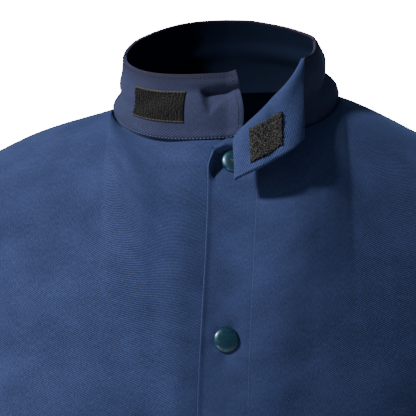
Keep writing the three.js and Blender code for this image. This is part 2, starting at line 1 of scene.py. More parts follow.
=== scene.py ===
# Flame-resistant work jacket on a plain pale floor, its collar turned open at one end.
# Lengths are written in millimetres, as on the real jacket, and turned to metres in the meshes.
import math
import random

import bmesh
import bpy
from mathutils import Matrix, Vector, noise


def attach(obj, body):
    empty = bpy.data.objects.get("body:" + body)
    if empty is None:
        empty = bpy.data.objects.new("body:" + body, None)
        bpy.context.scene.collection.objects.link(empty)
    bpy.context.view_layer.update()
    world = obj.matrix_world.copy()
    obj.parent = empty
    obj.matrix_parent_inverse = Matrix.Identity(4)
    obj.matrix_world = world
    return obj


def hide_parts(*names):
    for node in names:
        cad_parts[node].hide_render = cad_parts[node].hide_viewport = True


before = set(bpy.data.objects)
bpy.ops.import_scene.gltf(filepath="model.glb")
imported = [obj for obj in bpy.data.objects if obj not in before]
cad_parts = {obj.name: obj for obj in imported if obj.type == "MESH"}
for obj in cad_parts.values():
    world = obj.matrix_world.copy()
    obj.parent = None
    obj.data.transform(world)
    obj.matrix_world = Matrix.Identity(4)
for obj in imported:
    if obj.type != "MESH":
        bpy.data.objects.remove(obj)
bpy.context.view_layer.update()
MM = 0.001


# Camera: level with the collar and square to the front. The photograph's middle looks at the
# chest just under the collar, and its width takes in 320 mm there.
VIEW_MIDDLE = Vector((-14.6, -80, -84.3)) * MM
VIEW_WIDTH = 320.3 * MM
VIEW_DISTANCE = 2.2
SENSOR = 36.0


def add_object(name, data):
    made = bpy.data.objects.new(name, data)
    bpy.context.collection.objects.link(made)
    return made


camera_data = bpy.data.cameras.new("camera")
camera_data.sensor_width = SENSOR
camera_data.lens = SENSOR * VIEW_DISTANCE / VIEW_WIDTH
camera = add_object("camera", camera_data)
camera.location = VIEW_MIDDLE + Vector((0, -VIEW_DISTANCE, 0))
camera.rotation_euler = (math.pi / 2, 0, 0)
bpy.context.scene.camera = camera


# Twill: heavy cotton, dyed navy and faded a little on the raised threads. It is matte, with a
# soft nap. The real rib is 1 mm apart and is drawn at 1.5 mm, the finest that shows.
TWILL_RIB = 1.5 * MM
TWILL_TURN = math.radians(58)
# A band texture of scale 1 repeats every pi / 10
TWILL_SCALE = math.pi / 10 / TWILL_RIB
TWILL_DEEP = "#0b132d"
TWILL_NAVY = "#202a4c"
TWILL_FADED = "#38456f"
# A reddish sheen painted along the fold edges
EDGE_SHEEN = "#4a2d31"


def to_linear(code):
    parts = [int(code[i:i + 2], 16) / 255 for i in (1, 3, 5)]
    return [p / 12.92 if p <= 0.04045 else ((p + 0.055) / 1.055) ** 2.4 for p in parts] + [1.0]


def add_node(tree, kind, settings, links=()):
    """Adds a node, sets its properties or sockets by name, and links (socket, source) pairs."""
    made = tree.nodes.new(kind)
    for key, value in settings.items():
        if hasattr(made, str(key)):
            setattr(made, key, value)
        else:
            made.inputs[key].default_value = value
    for socket, source in links:
        tree.links.new(source, made.inputs[socket])
    return made


def new_material(name):
    made = bpy.data.materials.new(name)
    made.use_nodes = True
    tree = made.node_tree
    return made, tree, tree.nodes["Principled BSDF"]


def set_inputs(shader, values):
    for socket, value in values.items():
        shader.inputs[socket].default_value = value


def ramp(tree, source, stops):
    made = add_node(tree, "ShaderNodeValToRGB", {}, [("Fac", source)])
    elements = made.color_ramp.elements
    while len(elements) < len(stops):
        elements.new(0.5)
    for element, (place, colour) in zip(elements, stops):
        element.position = place
        element.color = to_linear(colour)
    return made.outputs["Color"]


def add_bump(tree, shader, height, strength, distance):
    made = add_node(tree, "ShaderNodeBump", {"Strength": strength, "Distance": distance},
                    [("Height", height)])
    tree.links.new(made.outputs["Normal"], shader.inputs["Normal"])


def add_speckle(tree, shader, scale, stops, detail=2.0):
    """Colours a shader by a fine noise over the piece, and returns the noise."""
    place = add_node(tree, "ShaderNodeTexCoord", {}).outputs["Object"]
    speck = add_node(tree, "ShaderNodeTexNoise", {"Scale": scale, "Detail": detail},
                     [("Vector", place)]).outputs["Fac"]
    tree.links.new(ramp(tree, speck, stops), shader.inputs["Base Color"])
    return speck


def twill_material(name, deep, middle, faded, rib_height):
    made, tree, shader = new_material(name)
    uv = add_node(tree, "ShaderNodeUVMap", {"uv_map": "UVMap"}).outputs["UV"]
    turned = add_node(tree, "ShaderNodeMapping", {"Rotation": (0, 0, TWILL_TURN)}, [("Vector", uv)])
    rib = add_node(tree, "ShaderNodeTexWave",
                   {"wave_type": "BANDS", "bands_direction": "X", "Scale": TWILL_SCALE,
                    "Distortion": 1.8, "Detail": 2.0, "Detail Scale": 1.4},
                   [("Vector", turned.outputs["Vector"])]).outputs["Fac"]
    across = add_node(tree, "ShaderNodeMapping", {"Scale": (1, 0.28, 1)}, [("Vector", uv)])
    yarn = add_node(tree, "ShaderNodeTexNoise", {"Scale": 1000.0, "Detail": 2.0},
                    [("Vector", across.outputs["Vector"])]).outputs["Fac"]
    wear_and_sheen = add_node(tree, "ShaderNodeTexNoise", {"Scale": 26.0, "Detail": 5.0, "Roughness": 0.6},
                    [("Vector", uv)]).outputs["Fac"]
    thread = add_node(tree, "ShaderNodeMix", {"data_type": "FLOAT", 0: 0.5},
                      [(2, rib), (3, yarn)]).outputs[0]
    cloth = add_node(tree, "ShaderNodeMix", {"data_type": "FLOAT", 0: 0.3},
                     [(2, thread), (3, wear_and_sheen)]).outputs[0]
    colour = ramp(tree, cloth, [(0.26, deep), (0.5, middle), (0.76, faded)])
    # Mixes a painted reddish sheen into the colour along fold edges, by the edge sheen attribute
    edge = add_node(tree, "ShaderNodeAttribute", {"attribute_name": "edge_sheen"}).outputs["Fac"]
    patchy = add_node(tree, "ShaderNodeMath", {"operation": "MULTIPLY"},
                      [(0, edge), (1, yarn)]).outputs[0]
    sheened = add_node(tree, "ShaderNodeMix", {"data_type": "RGBA"}, [(0, patchy), (6, colour)])
    sheened.inputs[7].default_value = to_linear(EDGE_SHEEN)
    tree.links.new(sheened.outputs[2], shader.inputs["Base Color"])
    add_bump(tree, shader, thread, 0.55, rib_height)
    set_inputs(shader, {"Roughness": 0.92, "Specular IOR Level": 0.25, "Sheen Weight": 0.25,
                        "Sheen Roughness": 0.5, "Sheen Tint": to_linear("#5a6fa5")})
    return made


twill = twill_material("cotton_twill_navy", TWILL_DEEP, TWILL_NAVY, TWILL_FADED, 0.3 * MM)


# Fronts and back: three cut panels of twill, sewn at the sides and shoulders. The left front
# laps over the right, and both are two cloths thick at the placket and the hem.
CLOTH = 1.6
NECK_HALF_WIDTH, NECK_FRONT, NECK_BACK, NECK_DROP, NECK_RISE, NECK_LEAN = 90, 72, 62, 31, 15, 5
SHOULDER_HALF_WIDTH, SHOULDER_DROP, SHOULDER_SET_BACK = 238, 72, 3
ARMPIT_DROP, ARMHOLE_FRONT, ARMHOLE_BACK = 262, 75, 78
CHEST_HALF_WIDTH, CHEST_FRONT, CHEST_BACK = 222, 128, 112
BACK_LENGTH, HEM_DEPTH, FOLD_DEPTH = 761, 25, 8
BODY_DROP = BACK_LENGTH - NECK_RISE - ARMPIT_DROP
NECK_SHARE = 0.4
SECTION_POWER = 0.85
LAYER_OUT, LAYER_IN = 3.2, 2.4
# Each panel reaches this far past its side and shoulder seams, so that no gap shows
SEAM_LAP = 0.25
PLACKET_HALF_WIDTH, UNDERLAP, CENTRE_SWAY, LIP_DROP = 19.5, 17, 8, 7
PLACKET_STITCH = 38
# Grid rows and columns close up a little toward the neck and the centre
ROW_SPREAD, COLUMN_SPREAD = 1.25, 1.05
ABOVE_HEM = 1.99
# Unevenness of worn cloth: wave across, wave down and depth
BROAD_WAVE, BROAD_FALL, BROAD_DEPTH = 95, 190, 1.7
FINE_WAVE, FINE_FALL, FINE_DEPTH = 26, 38, 0.45
SNAP_PULL_REACH = 60

# Body sections under the armpit: down, half width, front and back reach, as shares of the chest's
BODY_SECTIONS = [
    (0, 1, 1, 1),
    (0.12, 0.99, 1.01, 1.01),
    (0.38, 0.965, 0.95, 0.94),
    (0.73, 1, 0.97, 1.02),
    (1, 1.03, 0.99, 1.06),
]
# Folds: face, side, drift of the side per unit down, from, to, width, depth
BODY_FOLDS = [
    (-1, 0.62, -0.05, 0.75, 2.3, 0.075, -0.9),
    (-1, -0.6, 0.06, 0.8, 2.3, 0.08, -1),
    (-1, 0.42, -0.04, 1.2, 2.4, 0.07, 0.8),
    (-1, -0.38, 0.05, 1.3, 2.4, 0.07, 0.8),
    (1, 0.5, 0.08, 0.9, 2.4, 0.09, -1.1),
    (1, -0.45, -0.07, 1, 2.4, 0.09, -1.1),
    (1, 0.05, 0, 1.2, 2.4, 0.12, 0.9),
]


def mix(a, b, t):
    return a + (b - a) * t


def ease(t, low, high):
    t = min(max((t - low) / (high - low), 0.0), 1.0)
    return t * t * (3 - 2 * t)


def read_table(rows, at):
    """Reads a table by its first column, on a smooth curve through its rows."""
    i = 0
    while i < len(rows) - 2 and at > rows[i + 1][0]:
        i += 1
    a, b = rows[i], rows[i + 1]
    before, after = rows[max(i - 1, 0)], rows[min(i + 2, len(rows) - 1)]
    span = b[0] - a[0]
    t = min(max((at - a[0]) / span, 0.0), 1.0)
    read = []
    for c in range(1, len(a)):
        slope_a = (b[c] - before[c]) / (b[0] - before[0]) * span
        slope_b = (after[c] - a[c]) / (after[0] - a[0]) * span
        rise = b[c] - a[c]
        read.append(a[c] + slope_a * t + (3 * rise - 2 * slope_a - slope_b) * t ** 2
                    + (slope_a + slope_b - 2 * rise) * t ** 3)
    return read


def bezier(a, b, c, d, t):
    s = 1 - t
    return a * s ** 3 + b * (3 * s * s * t) + c * (3 * s * t * t) + d * t ** 3


def top_line(face, share):
    """The neck seam and then the shoulder seam, from the centre out to the shoulder tip."""
    side, s = math.copysign(1, share), abs(share)
    if s <= NECK_SHARE:
        angle = s / NECK_SHARE * math.pi / 2
        c = math.cos(angle)
        depth = -NECK_FRONT if face < 0 else NECK_BACK
        height = -NECK_DROP * (1.25 * c - 0.25 * c ** 3) if face < 0 else NECK_RISE * c
        return Vector((side * NECK_HALF_WIDTH * math.sin(angle), depth * c,
                       height + side * NECK_LEAN * math.sin(angle)))
    along = (s - NECK_SHARE) / (1 - NECK_SHARE)
    lean = NECK_LEAN * (1 - ease(along, 0, 0.5))
    return Vector((side * mix(NECK_HALF_WIDTH, SHOULDER_HALF_WIDTH, along), SHOULDER_SET_BACK * along,
                   side * lean - SHOULDER_DROP * (0.65 * along + 0.35 * along ** 2)))


def smooth_line(face, share):
    """The top line with its corner at the side neck eased over, as the cloth hangs from it."""
    reach = math.copysign(0.13 * (1 - ease(abs(share), 0.65, 0.92)), share)
    return sum((top_line(face, share + reach * k / 3) for k in range(-3, 4)), Vector()) / 7


def section_point(face, share, down):
    half, front, back = read_table(BODY_SECTIONS, down)
    angle = min(abs(share), 1.0) ** 1.5 * math.pi / 2
    reach = -CHEST_FRONT * front if face < 0 else CHEST_BACK * back
    return Vector((math.copysign(1, share) * CHEST_HALF_WIDTH * half * math.sin(angle) ** SECTION_POWER,
                   reach * max(math.cos(angle), 0) ** SECTION_POWER, -ARMPIT_DROP - down * BODY_DROP))


def body_base(face, share, down):
    if down > 1:
        return section_point(face, share, down - 1)
    s = abs(share)
    top, bottom = top_line(face, share), section_point(face, share, 0)
    tip = min(max((s - NECK_SHARE) / (1 - NECK_SHARE), 0), 1)
    armhole = 4 / 3 * (ARMHOLE_FRONT if face < 0 else ARMHOLE_BACK)
    steep = math.radians(mix(25 if face < 0 else 43, 90, ease(s, 0, NECK_SHARE)))
    length = mix(ARMPIT_DROP * 0.29, armhole + SHOULDER_SET_BACK * face, tip * tip)
    start = Vector((0, face * math.sin(steep), -math.cos(steep))) * length
    under = ease(s, 0.7, 1)
    end = Vector((0, face * armhole * under, ARMPIT_DROP * 0.32 * (1 - under)))
    return bezier(top, smooth_line(face, share) + start, bottom + end, bottom, down)


def body_normal(face, share, down):
    share, low = min(max(share, -0.95), 0.95), min(max(down, 0.004), 1.996)
    across = body_base(face, share + 0.004, low) - body_base(face, share - 0.004, low)
    along = body_base(face, share, low + 0.004) - body_base(face, share, low - 0.004)
    normal = along.cross(across).normalized()
    return normal if normal.y * face > 0 else -normal


def fold_depth(face, share, down):
    depth = 0
    for side_of, side, drift, start, stop, width, height in BODY_FOLDS:
        if side_of == face:
            off = (share - side - drift * (down - 1)) / width
            fade = ease(down, start, start + 0.5) * (1 - ease(down, stop - 0.4, stop + 0.4))
            depth += FOLD_DEPTH * height * fade * math.exp(-off * off)
    return depth * (1 - ease(abs(share), 0.8, 0.97))


def body_point(face, share, down, layer=0.0, lift=0.0):
    near = 1 - ease(abs(share), 0.09, 0.29)
    push = fold_depth(face, share, down) + layer * near + lift
    base = body_base(face, share, down) + Vector((0, -face * SEAM_LAP, 0))
    return base + body_normal(face, share, down) * push


def centre_line(z):
    return mix(0.7, -0.4, ease(-z, NECK_DROP, ARMPIT_DROP)) * CENTRE_SWAY


def share_at(x, down):
    low, high = 0.0, NECK_SHARE
    for _ in range(20):
        middle = (low + high) / 2
        if body_base(-1, middle, down).x < abs(x):
            low = middle
        else:
            high = middle
    return math.copysign(low, x)


def down_at(z):
    low, high = 0.0, 2.0
    for _ in range(30):
        middle = (low + high) / 2
        if body_base(-1, 0, middle).z > z:
            low = middle
        else:
            high = middle
    return low


SNAP_COUNT, SNAP_FIRST_DROP, SNAP_SPACING = 5, 47.4, 137
# Where each snap sits on the centre line, and the outward direction there
SNAPS = []
for i in range(SNAP_COUNT):
    drop = down_at(-SNAP_FIRST_DROP - i * SNAP_SPACING)
    side = share_at(centre_line(-SNAP_FIRST_DROP - i * SNAP_SPACING), drop)
    SNAPS.append((body_point(-1, side, drop), body_normal(-1, side, drop)))

# The cloth sinks round the first snap, swells at the placket's rim, lifts under the lap and
# dips at the neck seam
SNAP_RECESS, RIM_SWELL, LAP_LIFT, NECK_DIP = 6.5, 0.9, 3.2, 1.2


def creases(p, face):
    """Soft unevenness of well-used cloth: broad waves, finer crumples and the pull round each snap."""
    broad = noise.noise(Vector((p.x / BROAD_WAVE, p.y / BROAD_WAVE, p.z / BROAD_FALL))) * BROAD_DEPTH
    fine = noise.noise(Vector((p.x / FINE_WAVE + 7, p.y / FINE_WAVE, p.z / FINE_FALL))) * FINE_DEPTH
    pull = 0
    if face < 0:
        for seat, _ in SNAPS:
            off = Vector((p.x - seat.x, p.z - seat.z))
            if off.length < SNAP_PULL_REACH:
                pull -= 1.2 * math.exp(-(off.length / 11) ** 2)
                pull += 0.35 * math.sin(5 * math.atan2(off.y, off.x)) * math.exp(-(off.length / 20) ** 2)
    return broad + fine + pull


def snap_hollow(p, edge):
    """The placket sinks behind its own rim round the first snap, under a lip at its top."""
    inside, over = p.x - edge, p.z - SNAPS[0][0].z
    across = ease(inside, 1.2, 4.5) * (1 - ease(inside, 24, 40))
    return SNAP_RECESS * across * (1 - ease(over, 7, 11)) * ease(over, -22, -5)


def render_sheet(name, columns, rows, place, flat, edge=None):
    """A cloth sheet from a grid. Place, flat and edge take the way across and the way down, 0 to 1."""
    mesh = bpy.data.meshes.new(name)
    bm = bmesh.new()
    bmesh.ops.create_grid(bm, x_segments=columns, y_segments=rows, size=0.5)
    uv = bm.loops.layers.uv.new("UVMap")
    # How much painted sheen each vertex takes along fold edges
    wear_and_sheen = bm.verts.layers.float.new("edge_sheen")
    for face in bm.faces:
        face.smooth = True
        for loop in face.loops:
            loop[uv].uv = [v * MM for v in flat(loop.vert.co.x + 0.5, 0.5 - loop.vert.co.y)]
    for vert in bm.verts:
        u, v = vert.co.x + 0.5, 0.5 - vert.co.y
        vert[wear_and_sheen] = edge(u, v) if edge else 0.0
        vert.co = place(u, v) * MM
    bm.to_mesh(mesh)
    bm.free()
    return add_object(name, mesh)


def thicken(piece, thickness, bevel=0.5):
    solid = piece.modifiers.new("wall", "SOLIDIFY")
    solid.thickness = thickness * MM
    solid.offset = -1
    round_edge = piece.modifiers.new("rolled_edge", "BEVEL")
    round_edge.width = bevel * MM
    round_edge.segments = 2
    round_edge.limit_method = "ANGLE"
    round_edge.angle_limit = math.radians(50)


def dress(piece, node, material):
    piece.data.materials.append(material)
    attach(piece, "root")
    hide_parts(node)


def placket_edge(down):
    return centre_line(body_base(-1, 0, down).z) - PLACKET_HALF_WIDTH * mix(0.78, 1, ease(down, 0, 0.12))


def hem_ridge(p, share):
    """The turned hem, flattened into the side seam."""
    return turned_ridge(p.z + BACK_LENGTH - NECK_RISE, HEM_DEPTH) * (1 - ease(abs(share), 0.88, 0.97))


def turned_ridge(distance, width):
    """Height of a turned edge: two cloths thick up to its row of stitches."""
    groove = -0.5 * math.exp(-((distance - width) / 1.6) ** 2)
    return 0.7 * (1 - ease(distance, width - 1, width + 2)) + groove


def neck_dip(share, down):
    return NECK_DIP * (1 - ease(down, 0, 0.018)) * (1 - ease(abs(share), 0.17, 0.27))


def left_front(u, v):
    down = 2 * v ** ROW_SPREAD
    first = share_at(placket_edge(min(down, ABOVE_HEM)), min(down, ABOVE_HEM))
    share = mix(first, 1.0, u ** COLUMN_SPREAD)
    past = max(0.0, -share / -first) if share < 0 else 0.0
    lip = LIP_DROP / ARMPIT_DROP * past * (1 - ease(down, 0, 0.12))
    p = body_base(-1, share, down)
    ridge = turned_ridge(p.x - placket_edge(down), PLACKET_STITCH) * 0.4
    ridge += hem_ridge(p, share)
    calm = ease(down, 0, 0.1) * (1 - ease(share, 0.9, 1))
    edge = placket_edge(down)
    rim = RIM_SWELL * (1 - ease(p.x - edge, 0.8, 2.6)) - snap_hollow(p, edge)
    lift = ridge * 0.8 + creases(p, -1) * calm + rim - neck_dip(share, down)
    return body_point(-1, share, min(down + lip, 2), LAYER_OUT, lift)


def right_front(u, v):
    down = 2 * v ** ROW_SPREAD
    last = share_at(centre_line(body_base(-1, 0, down).z) + UNDERLAP, down)
    share = mix(-1.0, last, 1 - (1 - u) ** COLUMN_SPREAD)
    p = body_base(-1, share, down)
    calm = ease(down, 0, 0.1) * (1 - ease(-share, 0.9, 1)) * (1 - ease(p.x, -60, -15))
    ridge = hem_ridge(p, share) * 0.8
    edge = placket_edge(min(down, ABOVE_HEM))
    lap = LAP_LIFT * ease(p.x, edge - 40, edge - 12) * (1 - ease(p.x, edge + 4, edge + 13))
    lift = ridge + creases(p, -1) * calm + lap - snap_hollow(p, edge) - neck_dip(share, down)
    return body_point(-1, share, down, -LAYER_IN, lift)


def back_panel(u, v):
    down, share = 2 * v ** ROW_SPREAD, mix(1.0, -1.0, u)
    p = body_base(1, share, down)
    calm = ease(down, 0, 0.1) * (1 - ease(abs(share), 0.9, 1))
    ridge = hem_ridge(p, share) * 0.8
    return body_point(1, share, down, 0, ridge + creases(p, 1) * calm)


PANEL_WIDTH, PANEL_HEIGHT = 290, 790


def front_flat(u, v):
    return PANEL_WIDTH * u, -PANEL_HEIGHT * v ** ROW_SPREAD


def back_flat(u, v):
    return 2 * PANEL_WIDTH * u, -PANEL_HEIGHT * v ** ROW_SPREAD


for node, place in (("left_front", left_front), ("right_front", right_front)):
    panel = render_sheet(f"{node}_cloth", 130, 210, place, front_flat)
    thicken(panel, CLOTH)
    dress(panel, node, twill)
back = render_sheet("back_cloth", 170, 170, back_panel, back_flat)
thicken(back, CLOTH)
dress(back, "back", twill)


# Sleeves: set-in tubes of twill, eased into the armholes, with plain turned cuffs. They bend a
# little at the elbow, where the cloth breaks into soft folds.
UNDERARM_LENGTH, SLEEVE_ACROSS, SLEEVE_HALF_DEPTH = 385, 144, 66
CUFF_ACROSS, CUFF_HALF_DEPTH, SLEEVE_BEND, SLEEVE_LENGTH, ARMHOLE_GAP = 112, 50, 54, 610, 0.3
# Rings from the armhole down: ring number, down, out, tilt, cap, taper, bend
SLEEVE_RINGS = [
    (1, 0.015, 0.008, 76, 0.23, 0, 0),
    (2, 0.04, 0.018, 64, 0.53, 0, 0.02),
    (3, 0.073, 0.028, 50, 0.74, 0, 0.05),
    (4, 0.12, 0.039, 34, 0.89, 0, 0.09),
    (5, 0.2, 0.05, 19, 1, 0.02, 0.14),
    (6, 0.345, 0.068, 10, 1, 0.12, 0.25),
    (7, 0.46, 0.085, 7, 1, 0.26, 0.36),
    (8, 0.57, 0.104, 7, 1, 0.42, 0.48),
    (9, 0.72, 0.128, 8, 1, 0.64, 0.66),
    (10, 0.86, 0.148, 9, 1, 0.84, 0.84),
    (11, 0.935, 0.156, 9, 1, 0.95, 0.93),
    (12, 1, 0.162, 9, 1, 1, 1),
]
# The armhole lies in a plane: its height, and the direction square to it
ARMHOLE_HEIGHT = math.hypot(ARMPIT_DROP - SHOULDER_DROP, SHOULDER_HALF_WIDTH - CHEST_HALF_WIDTH)
ARMHOLE_OUT = Vector((ARMPIT_DROP - SHOULDER_DROP, 0, CHEST_HALF_WIDTH - SHOULDER_HALF_WIDTH)).normalized()


def armhole_point(around):
    """Round the armhole from under the arm by the front and the tip: 0 to 1."""
    if around <= 0.5:
        return body_base(-1, 1, 1 - 2 * around)
    return body_base(1, 1, 2 * around - 1)


def sleeve_ring(around, ring):
    down, out, tilt, cap, taper, bend = read_table(SLEEVE_RINGS, max(ring, 1))
    p = armhole_point(around)
    middle = (armhole_point(0) + armhole_point(0.5)) / 2
    up_share = min(max((p.z - middle.z) / (ARMHOLE_HEIGHT / 2), -1), 1)
    angle = math.acos(-up_share) if around <= 0.5 else 2 * math.pi - math.acos(-up_share)
    across = mix(mix(ARMHOLE_HEIGHT, SLEEVE_ACROSS, cap), CUFF_ACROSS, taper)
    deep = mix(mix(ARMHOLE_FRONT, SLEEVE_HALF_DEPTH, cap), CUFF_HALF_DEPTH, taper)
    up = Vector((math.cos(math.radians(tilt)), 0, math.sin(math.radians(tilt))))
    under = Vector((CHEST_HALF_WIDTH + out * UNDERARM_LENGTH, mix(SHOULDER_SET_BACK / 2, -SLEEVE_BEND, bend),
                    -ARMPIT_DROP - down * UNDERARM_LENGTH))
    ring_point = under + up * (across / 2 * (1 - math.cos(angle))) + Vector((0, -deep * math.sin(angle), 0))
    if ring < 1:
        return (p + ARMHOLE_OUT * ARMHOLE_GAP).lerp(ring_point, ring)
    return ring_point


def sleeve_point(u, v):
    ring = 12 * v
    p = sleeve_ring(u, ring)
    centre = (sleeve_ring(0, ring) + sleeve_ring(0.5, ring)) / 2
    out = (p - centre).normalized()
    angle = 2 * math.pi * u
    inner = 0.5 + 0.5 * math.cos(angle)
    elbow = math.exp(-((v - 0.62) / 0.16) ** 2) * math.sin(v * 52 + 1.4 * math.sin(angle))
    elbow *= 0.4 + 0.6 * inner
    shoulder = math.exp(-((v - 0.27) / 0.13) ** 2) * math.sin(v * 44 + 2.2 * math.cos(angle + 0.6)) * inner
    broad = noise.noise(Vector((p.x / 60, p.y / 60, p.z / 90 + 3))) * 2.2
    fade = ease(v, 0.02, 0.16) * (1 - ease(v, 0.9, 1))
    return p + out * ((2.6 * elbow + 2.2 * shoulder + broad) * fade)


def sleeve_flat(u, v):
    return 420 * u, -SLEEVE_LENGTH * v


for node, side in (("left_sleeve", 1), ("right_sleeve", -1)):
    sleeve = render_sheet(f"{node}_cloth", 96, 150, sleeve_point, sleeve_flat)
    bm = bmesh.new()
    bm.from_mesh(sleeve.data)
    bmesh.ops.remove_doubles(bm, verts=bm.verts, dist=0.01 * MM)
    if side < 0:
        bmesh.ops.scale(bm, vec=(-1, 1, 1), verts=bm.verts)
        bmesh.ops.reverse_faces(bm, faces=bm.faces)
    bm.to_mesh(sleeve.data)
    bm.free()
    thicken(sleeve, CLOTH)
    dress(sleeve, node, twill)


# Collar: a stand of two layers of twill sewn round the neck. Its left end is turned open over a roll line, so
# its inner face and the loop tape show. A reddish sheen is painted along the fold edges.
COLLAR_CLOTH, COLLAR_HEIGHT, COLLAR_LEAN, COLLAR_DENT = 2.4, 54, 19, 9
COLLAR_END, COLLAR_END_BULGE, FLAP_LENGTH_TOP, FLAP_LENGTH_BOTTOM = 7.4, 5.5, 86, 46
COLLAR_SEAT, COLLAR_TUCK, FOOT_ROLL, FOOT_TUCK = 0.5, 0.13, 1.6, 2.6
ROLL_START, ROLL_TOP_ANGLE, ROLL_LIFT = 9.4, 54, 12
# Sections by angle from the front: angle, rise, lean, crease height, dent
COLLAR_SECTIONS = [
    (-180, 1, 0.45, 0.5, 0.1),
    (-165, 1.01, 0.46, 0.49, 0.12),
    (-150, 0.995, 0.48, 0.48, 0.15),
    (-120, 0.9, 0.42, 0.4, 0.35),
    (-90, 0.8, 0.4, 0.3, 0.65),
    (-60, 0.9, 0.36, 0.4, 0.3),
    (-30, 0.96, 0.34, 0.72, 0.25),
    (0, 0.97, 0.32, 0.7, 0.5),
    (30, 1, 0.6, 0.45, 0.25),
    (60, 0.93, 0.75, 0.42, 0.5),
    (90, 0.84, 1, 0.44, 1),
    (120, 0.82, 0.78, 0.46, 0.6),
    (150, 0.91, 0.58, 0.5, 0.25),
    (165, 0.97, 0.5, 0.5, 0.15),
    (180, 1, 0.45, 0.5, 0.1),
]
# Crumples of the standing collar: angle, height, half widths of both, depth and the slope of the
# crease. The first is the puffed band over the front's dent, which is shaped like a V.
COLLAR_CRUMPLES = [
    (-6, 0.85, 16, 0.07, -1.8, 0.0),
    (7, 0.7, 7, 0.05, 2.8, 0.0),
    (-92, 0.62, 26, 0.28, 3.8, 0.0),
    (-62, 0.62, 9, 0.09, 1.2, 0.004),
    (72, 0.36, 14, 0.06, 2.6, -0.004),
    (84, 0.7, 10, 0.08, 1.6, 0.003),
    (150, 0.5, 22, 0.1, 1.6, 0.002),
    (-150, 0.42, 20, 0.1, 1.8, -0.003),
    (-112, 0.55, 12, 0.09, 1.5, 0.003),
]
# The dent's heights at its tip and top, its angles there, and its depth
VEE_TIP, VEE_TOP, VEE_ANGLE, VEE_LEFT, VEE_RIGHT, VEE_DEPTH = 0.36, 0.74, -11, -15, 9, 6.5


def collar_crumple(angle, height):
    depth = 0
    for at, rise, wide, tall, deep, slope in COLLAR_CRUMPLES:
        off = (height - rise - slope * (angle - at)) / tall
        depth += deep * math.exp(-((angle - at) / wide) ** 2 - off * off)
    rise = (height - VEE_TIP) / (VEE_TOP - VEE_TIP)
    if 0 < rise < 1.4:
        left, right = mix(VEE_ANGLE, VEE_LEFT, rise), mix(VEE_ANGLE, VEE_RIGHT, rise)
        wall = ease(angle, left, left + 4) * (1 - ease(angle, left + 3, max(right, left + 4)))
        depth += VEE_DEPTH * min(1, rise * 1.3) * wall * (1 - ease(rise, 0.93, 1.12))
    return depth


def collar_point(angle, height):
    face = 1 if abs(angle) > 90 else -1
    turn = angle if face < 0 else math.copysign(180 - abs(angle), angle)
    layer = 0 if face > 0 else mix(-LAYER_IN, LAYER_OUT, ease(angle, -1, 8.5))
    foot = body_point(face, turn / 90 * NECK_SHARE, 0, layer)
    foot.y *= 1 - math.exp(-((abs(angle) - 90) / 2) ** 2)
    rise, lean, crease, dent = read_table(COLLAR_SECTIONS, angle)
    inward = Vector((-foot.x / NECK_HALF_WIDTH ** 2, -foot.y / NECK_FRONT ** 2, 0)).normalized()
    hollow = math.exp(-((height - crease) / 0.14) ** 2) * ease(height, 0, 0.2)
    swell = 0.12 * math.sin(math.pi * height)
    foot.z += COLLAR_SEAT + COLLAR_HEIGHT * rise * height
    lean_in = lean * max(height, 0) ** 1.2 - swell
    sunk = COLLAR_LEAN * lean_in + COLLAR_DENT * dent * hollow + collar_crumple(angle, height)
    return foot + inward * sunk


# The roll line starts at this angle round the neck
ROLL_ANGLE = math.degrees(math.asin(ROLL_START / NECK_HALF_WIDTH))
# Where along the collar's sheet the roll line and the side of the neck lie
FLAP_SHARE, QUARTER_SHARE = 0.16, 0.36
# Way along the sheet, and length of cloth up to there
COLLAR_SPANS = [(0, 0), (FLAP_SHARE, 72), (QUARTER_SHARE, 190), (1, 620)]


def end_angle(height):
    """The right end of the collar bows forward a little between its seam and its top."""
    reach = COLLAR_END + COLLAR_END_BULGE * math.sin(math.pi * max(height, 0) ** 0.6)
    return math.degrees(math.asin(reach / NECK_HALF_WIDTH))


def roll_angle(height):
    return mix(ROLL_ANGLE, ROLL_TOP_ANGLE, max(height, 0) ** 1.15)


def flap_length(height):
    return mix(FLAP_LENGTH_BOTTOM, FLAP_LENGTH_TOP, height)


def flap_point(turn, height):
    angle = roll_angle(height)
    start = collar_point(angle, height)
    heading = (start - collar_point(angle + 2, height)).normalized()
    fall = Vector((-0.06, mix(-0.68, -0.62, height), -0.76)).normalized()
    length = flap_length(height)
    end = start + fall * length
    lead = start + heading * mix(6, 12, height) + Vector((0, -mix(ROLL_LIFT, 0, height), 0))
    trail = end - fall * 0.45 * length + Vector((0, -mix(ROLL_LIFT / 3, 0, height), 0))
    return bezier(start, lead, trail, end, turn)


def collar_sheet(u, v):
    height = 1 - v
    if u < FLAP_SHARE:
        turn = (1 - u / FLAP_SHARE) ** 1.6
        ripple = 0.7 * math.sin(9 * turn + 4 * height) * ease(turn, 0.1, 0.5)
        return flap_point(turn, height) + Vector((0, ripple, 0))
    near_foot = ease(u, FLAP_SHARE, FLAP_SHARE + 0.02)
    height -= COLLAR_TUCK * ease(v, 0.8, 1) * near_foot
    if u < QUARTER_SHARE:
        share = (u - FLAP_SHARE) / (QUARTER_SHARE - FLAP_SHARE)
        angle = mix(roll_angle(height), 90, share)
    else:
        along = (u - QUARTER_SHARE) / (1 - QUARTER_SHARE)
        angle = mix(90, 360 + end_angle(height), along)
    p = collar_point(angle if angle <= 180 else angle - 360, height)
    outward = Vector((p.x / NECK_HALF_WIDTH ** 2, p.y / NECK_FRONT ** 2, 0)).normalized()
    roll = FOOT_ROLL * math.exp(-((height - 0.06) / 0.05) ** 2) - FOOT_TUCK * (1 - ease(height, -0.04, 0.03))
    front = 1 - ease(p.y, -55, -25)
    return p + outward * roll * near_foot * front


def collar_flat(u, v):
    return read_table(COLLAR_SPANS, u)[0], -COLLAR_HEIGHT * v


# Painted reddish sheen along the collar's top fold and its roll line
def collar_edge_sheen(u, v):
    return 0.9 * math.exp(-(v / 0.016) ** 2) + 0.9 * math.exp(-((u - FLAP_SHARE) / 0.004) ** 2)
